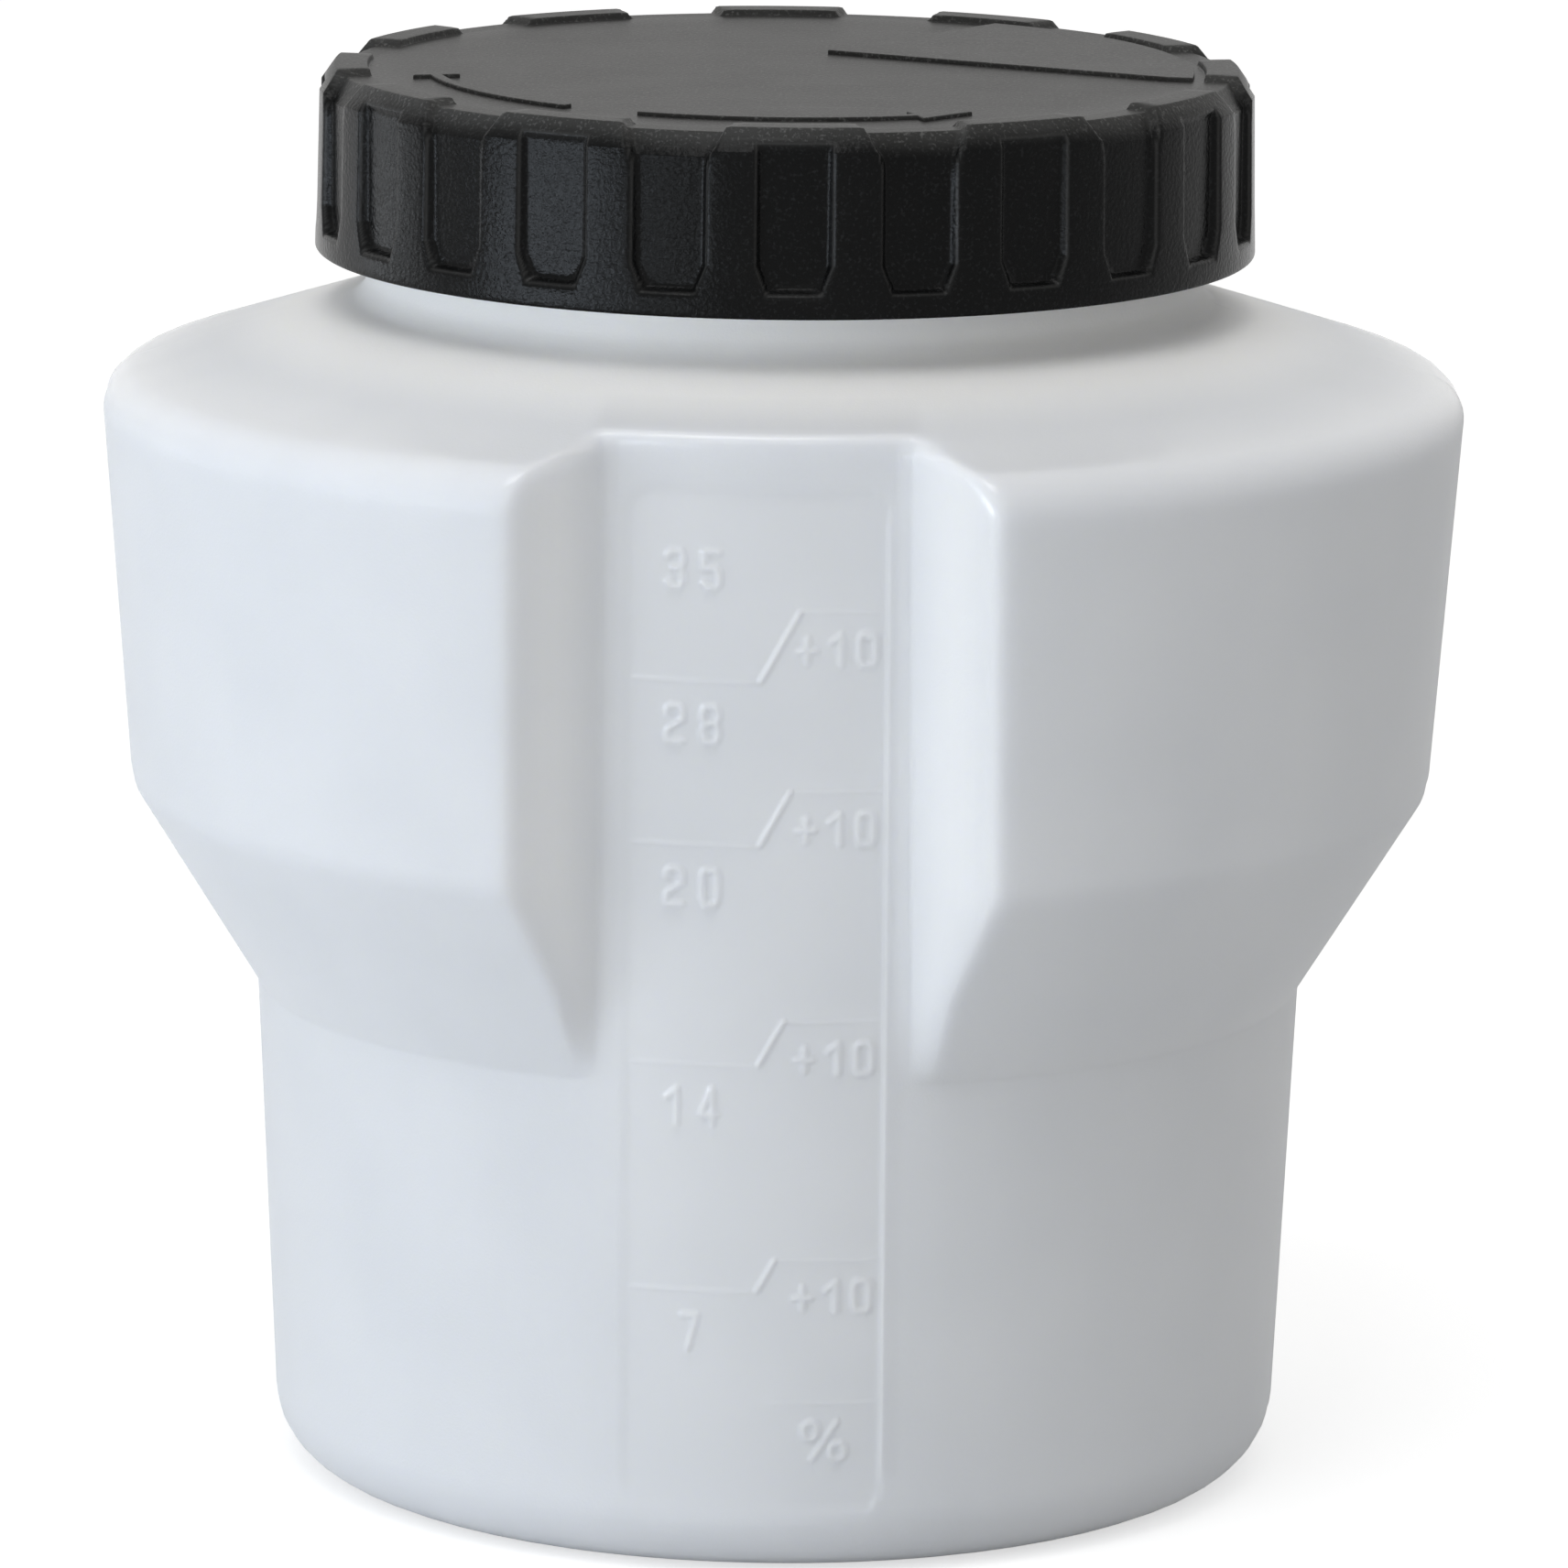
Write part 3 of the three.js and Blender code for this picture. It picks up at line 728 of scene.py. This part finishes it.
def mouldGrainGroup():
    # the skin that a blasted mould leaves: fine pits, with a slow unevenness added to them
    tree, entry, out = newGroup("mouldGrain", ["Grains", "Waves", "Waviness"], ["Height", "Mottle"])
    place = addNode(tree, "ShaderNodeTexCoord").outputs["Object"]
    pits = noise(tree, place, entry.outputs["Grains"], grainLook["pitDetail"])
    waves = noise(tree, place, entry.outputs["Waves"], grainLook["waveDetail"])
    low = combine(tree, "MULTIPLY", waves, entry.outputs["Waviness"])
    tree.links.new(combine(tree, "ADD", pits, low), out.inputs["Height"])
    tree.links.new(waves, out.inputs["Mottle"])
    return tree


handlingAndGlintsLook = {
    "lean": 22, "stretch": 26, "hairDetail": 4.0, "hairFrom": 0.58, "hairTo": 0.78, "hairMost": 0.4,
    "speckDetail": 1.0, "speckFrom": 0.56, "speckTo": 0.76,
}


def handlingAndGlintsGroup():
    # hairlines along one direction that handling leaves, noise drawn out, and fine light speckles that are
    # painted glints
    h = handlingAndGlintsLook
    tree, entry, out = newGroup("handlingAndGlints", ["Hairs", "Speckles"], ["Hairlines", "Speckles"])
    place = addNode(tree, "ShaderNodeTexCoord").outputs["Object"]
    turned = addNode(
        tree, "ShaderNodeMapping", {"Vector": place},
        Rotation=(0, 0, math.radians(h["lean"])), Scale=(1, h["stretch"], h["stretch"]))
    hairs = noise(tree, turned.outputs[0], entry.outputs["Hairs"], h["hairDetail"])
    specks = noise(tree, place, entry.outputs["Speckles"], h["speckDetail"])
    hairs = carry(tree, hairs, From_Min=h["hairFrom"], From_Max=h["hairTo"], To_Max=h["hairMost"])
    specks = carry(tree, specks, From_Min=h["speckFrom"], From_Max=h["speckTo"])
    tree.links.new(hairs, out.inputs["Hairlines"])
    tree.links.new(specks, out.inputs["Speckles"])
    return tree


def newMaterial(name, values):
    material = bpy.data.materials.new(name)
    material.use_nodes = True
    shader = material.node_tree.nodes["Principled BSDF"]
    for key, value in values.items():
        shader.inputs[key].default_value = value
    return material, material.node_tree, shader


def addBump(tree, shader, height, finish):
    bump = addNode(
        tree, "ShaderNodeBump", {"Height": height},
        Strength=finish["grainStrength"], Distance=finish["grainDepth"])
    tree.links.new(bump.outputs["Normal"], shader.inputs["Normal"])


bottleFinish = {
    "shader": {
        "Subsurface Weight": 0.8, "Subsurface Radius": (1.0, 1.0, 1.1), "Subsurface Scale": 0.0015,
        "IOR": 1.5, "Specular IOR Level": 0.2, "Coat Roughness": 0.2,
    },
    # dense is a painted light colour: lighter at the neck and up the recess walls
    "cloud": (0.80, 0.815, 0.84), "clear": (0.72, 0.74, 0.77), "dense": (0.93, 0.94, 0.95),
    "roughness": 0.55, "panelRoughness": 0.32,
    "grain": {"Grains": 3600.0, "Waves": 55.0, "Waviness": 0.5},
    "grainDepth": 0.00012, "grainStrength": 0.16, "panelGrain": 0.25,
}


def bottleMaterial(grain):
    # clouded plastic, painted lighter towards the dense colour at the neck and up the recess walls, where
    # light is painted in, and smoother on the scale's panel
    f = bottleFinish
    material, tree, shader = newMaterial("satinPolyethylene", f["shader"])
    skin = placeGroup(tree, grain, f["grain"])
    panel = attribute(tree, "panel")
    base = mixColours(tree, skin.outputs["Mottle"], f["cloud"], f["clear"])
    # painted light: lighter towards the neck and up the recess walls
    base = mixColours(tree, attribute(tree, "paintedLight"), base, f["dense"])
    rough = carry(tree, panel, To_Min=f["roughness"], To_Max=f["panelRoughness"])
    level = carry(tree, panel, To_Min=1.0, To_Max=f["panelGrain"])
    tree.links.new(base, shader.inputs["Base Color"])
    tree.links.new(rough, shader.inputs["Roughness"])
    tree.links.new(attribute(tree, "polished"), shader.inputs["Coat Weight"])
    addBump(tree, shader, combine(tree, "MULTIPLY", skin.outputs["Height"], level), f)
    return material


lidFinish = {
    "shader": {"IOR": 1.49, "Specular IOR Level": 0.08},
    # the last colour of the next two lines is a painted glint; the top's colours are dust with painted top
    # light; the rubbed colour marks hairline wear, and on the lips wear with a painted highlight
    "deep": (0.0016, 0.0017, 0.0018), "pale": (0.0032, 0.0034, 0.0035), "paintedGlint": (0.011, 0.0115, 0.012),
    "dustAndTopLight": (0.023, 0.023, 0.022), "dustAndTopLightPale": (0.05, 0.05, 0.049), "topPaintedGlint": (0.1, 0.1, 0.098),
    "rubbedAndHighlight": (0.1, 0.099, 0.097), "edgeWearAndHighlight": 0.3,
    "leastRoughness": 0.18, "mostRoughness": 0.26, "topRoughness": 0.42,
    "grain": {"Grains": 2400.0, "Waves": 120.0, "Waviness": 0.3},
    "grainDepth": 0.00025, "grainStrength": 0.25,
    "handlingAndGlints": {"Hairs": 60.0, "Speckles": 3000.0},
}


def lidMaterial(grain, handlingAndGlints):
    # black and mottled at the sides with painted glints, dusty and painted lighter for top light on top,
    # rubbed along hairlines, and worn with a painted highlight along edges
    f = lidFinish
    material, tree, shader = newMaterial("grainedPolypropylene", f["shader"])
    skin = placeGroup(tree, grain, f["grain"])
    wearAndGlints = placeGroup(tree, handlingAndGlints, f["handlingAndGlints"])
    mottle, specks = skin.outputs["Mottle"], wearAndGlints.outputs["Speckles"]
    top = attribute(tree, "top")
    ribs = mixColours(tree, mottle, f["deep"], f["pale"])
    # painted glints: light specks on the ribs
    ribs = mixColours(tree, specks, ribs, f["paintedGlint"])
    # dust and painted top light on the plate, with painted glints
    plate = mixColours(tree, mottle, f["dustAndTopLight"], f["dustAndTopLightPale"])
    plate = mixColours(tree, specks, plate, f["topPaintedGlint"])
    base = mixColours(tree, top, ribs, plate)
    hairs = combine(tree, "MULTIPLY", wearAndGlints.outputs["Hairlines"], top)
    # the lips are painted lighter: edge wear and a painted highlight
    edges = combine(tree, "MULTIPLY", attribute(tree, "wearAndHighlight"), f["edgeWearAndHighlight"])
    base = mixColours(tree, combine(tree, "MAXIMUM", hairs, edges), base, f["rubbedAndHighlight"])
    side = carry(tree, mottle, To_Min=f["leastRoughness"], To_Max=f["mostRoughness"])
    rough = addNode(tree, "ShaderNodeMapRange", {"Value": top, "To Min": side}, To_Max=f["topRoughness"])
    tree.links.new(base, shader.inputs["Base Color"])
    tree.links.new(rough.outputs["Result"], shader.inputs["Roughness"])
    addBump(tree, shader, skin.outputs["Height"], f)
    return material


sealFinish = {
    "shader": {"Roughness": 0.85, "Specular IOR Level": 0.25},
    "plain": (0.5, 0.51, 0.52), "pressed": (0.4, 0.41, 0.42),
    "grain": {"Grains": 1500.0, "Waves": 200.0, "Waviness": 0.4},
    "grainDepth": 0.0003, "grainStrength": 0.6,
}


def sealMaterial(grain):
    # grey foam, darker in blotches where the rim presses
    f = sealFinish
    material, tree, shader = newMaterial("foamedRing", f["shader"])
    skin = placeGroup(tree, grain, f["grain"])
    shade = combine(tree, "MULTIPLY", attribute(tree, "pressed"), skin.outputs["Mottle"])
    tree.links.new(mixColours(tree, shade, f["plain"], f["pressed"]), shader.inputs["Base Color"])
    addBump(tree, shader, skin.outputs["Height"], f)
    return material


grain, handlingAndGlints = mouldGrainGroup(), handlingAndGlintsGroup()
bottlePiece, lidPiece, signPiece, sealPiece = makeBottle(), makeLid(), makeSigns(), makeSeal()
lidSkin = lidMaterial(grain, handlingAndGlints)
dress(bottlePiece, "container", "container", bottleMaterial(grain))
dress(lidPiece, "lid", "screw_lid", lidSkin)
dress(signPiece, "lid", "screw_lid", lidSkin)
dress(sealPiece, "seal", "sealing_ring", sealMaterial(grain))
print("pieces dressed")


# Stage, light and camera, in metres

white = (1, 1, 1)
stage = {
    "floorHalf": 12.0, "floorGlow": 0.6,
    "shader": {
        "Base Color": (0.62, 0.62, 0.62, 1), "Roughness": 0.9, "Specular IOR Level": 0.1,
        "Emission Color": (*white, 1),
    },
}
# a dim room, brighter overhead and behind, and white where it is seen
room = {
    "dim": 0.21, "tint": (1.0, 0.995, 0.985), "from": 0.0, "to": 0.9, "seen": 1.0,
    "glows": {"above": ((0, 0, 1), 0.5), "behind": ((0.1, 1, 0.25), 0.1)},
}
# low strips on the left, which the lid's ribs mirror, and soft panels in front and overhead
lamps = {
    "leftPanel": {
        "place": (-0.421, -0.306, 0.07), "aim": (0, 0, 0.09), "size": (0.32, 0.06), "watts": 0.83,
        "tint": (0.8, 0.89, 1),
    },
    "sidePanel": {
        "place": (-0.5, 0.134, 0.07), "aim": (0, 0, 0.09), "size": (0.25, 0.04), "watts": 0.12,
        "tint": (0.88, 0.94, 1),
    },
    "quarterPanel": {
        "place": (-0.22, -0.471, 0.07), "aim": (0, 0, 0.09), "size": (0.1, 0.05), "watts": 0.13,
        "tint": (0.86, 0.93, 1),
    },
    "frontPanel": {
        "place": (0.1, -1.3, 0.45), "aim": (0, 0, 0.08), "size": (0.9, 0.5), "watts": 1.0, "tint": white,
    },
    "topPanel": {
        "place": (-0.1, -0.5, 1.05), "aim": (0, 0, 0.1), "size": (0.5, 0.5), "watts": 2.75, "tint": white,
    },
}
# the photo's view, with angles in degrees; axisPixels is how far the axis stands from the image's middle
view = {
    "azimuth": 2.55, "distance": 1.0589, "height": 0.2858, "pitch": 11.568, "roll": 0.5965,
    "focalPixels": 11681.7, "imagePixels": 1712, "axisPixels": -4.95, "clipEnd": 50,
}


def seenRays(tree):
    # 1 for what the camera sees, directly, mirrored or through something clear, and 0 for other light
    path = addNode(tree, "ShaderNodeLightPath")
    seen = path.outputs["Is Camera Ray"]
    for kind in ("Is Glossy Ray", "Is Transmission Ray"):
        seen = combine(tree, "MAXIMUM", seen, path.outputs[kind])
    return seen


def makeStage():
    half = stage["floorHalf"]
    places = [(-half, -half, 0), (half, -half, 0), (half, half, 0), (-half, half, 0)]
    mesh = bpy.data.meshes.new("floor")
    mesh.from_pydata(places, [], [(0, 1, 2, 3)])
    floor = linkPiece("floor", mesh)
    material, tree, shader = newMaterial("paleFloor", stage["shader"])
    glow = combine(tree, "MULTIPLY", seenRays(tree), stage["floorGlow"])
    tree.links.new(glow, shader.inputs["Emission Strength"])
    mesh.materials.append(material)


def makeRoom():
    # the world's light rises towards each glow's direction, by the cosine of the angle to it
    world = bpy.data.worlds.new("studioRoom")
    bpy.context.scene.world = world
    world.use_nodes = True
    tree = world.node_tree
    light = tree.nodes["Background"]
    light.inputs["Color"].default_value = (*room["tint"], 1)
    way = addNode(tree, "ShaderNodeTexCoord").outputs["Generated"]
    level = room["dim"]
    for direction, strength in room["glows"].values():
        towards = addNode(tree, "ShaderNodeVectorMath", {0: way}, operation="DOT_PRODUCT")
        towards.inputs[1].default_value = np.array(direction) / np.linalg.norm(direction)
        rise = carry(
            tree, towards.outputs["Value"], interpolation_type="SMOOTHSTEP",
            From_Min=room["from"], From_Max=room["to"], To_Max=strength)
        level = combine(tree, "ADD", rise, level)
    links = {"Value": seenRays(tree), "To Min": level}
    strength = addNode(tree, "ShaderNodeMapRange", links, To_Max=room["seen"])
    tree.links.new(strength.outputs["Result"], light.inputs["Strength"])


def aimed(place, target):
    # a placement that points the local -Z axis from a place to a target
    way = np.array(target, float) - np.array(place, float)
    turn = math.atan2(-way[0], way[1])
    tilt = math.atan2(math.hypot(way[0], way[1]), -way[2])
    return Matrix.Translation(place) @ Matrix.Rotation(turn, 4, "Z") @ Matrix.Rotation(tilt, 4, "X")


def makeLamps():
    for name, lamp in lamps.items():
        data = bpy.data.lights.new(name, "AREA")
        data.shape = "RECTANGLE"
        data.size, data.size_y = lamp["size"]
        data.energy = lamp["watts"]
        data.color = lamp["tint"]
        linkPiece(name, data).matrix_world = aimed(lamp["place"], lamp["aim"])


def makeCamera():
    data = bpy.data.cameras.new("camera")
    data.sensor_fit = "HORIZONTAL"
    data.lens = data.sensor_width * view["focalPixels"] / view["imagePixels"]
    data.shift_x = -view["axisPixels"] / view["imagePixels"]
    data.clip_end = view["clipEnd"]
    camera = linkPiece("camera", data)
    turn = Matrix.Rotation(math.radians(view["azimuth"]), 4, "Z")
    place = Matrix.Translation((0, -view["distance"], view["height"]))
    tilt = Matrix.Rotation(math.radians(90 - view["pitch"]), 4, "X")
    roll = Matrix.Rotation(math.radians(view["roll"]), 4, "Z")
    camera.matrix_world = turn @ place @ tilt @ roll
    bpy.context.scene.camera = camera


makeStage()
makeRoom()
makeLamps()
makeCamera()
bpy.context.scene.view_settings.view_transform = "Standard"
print("stage, lamps and camera set")
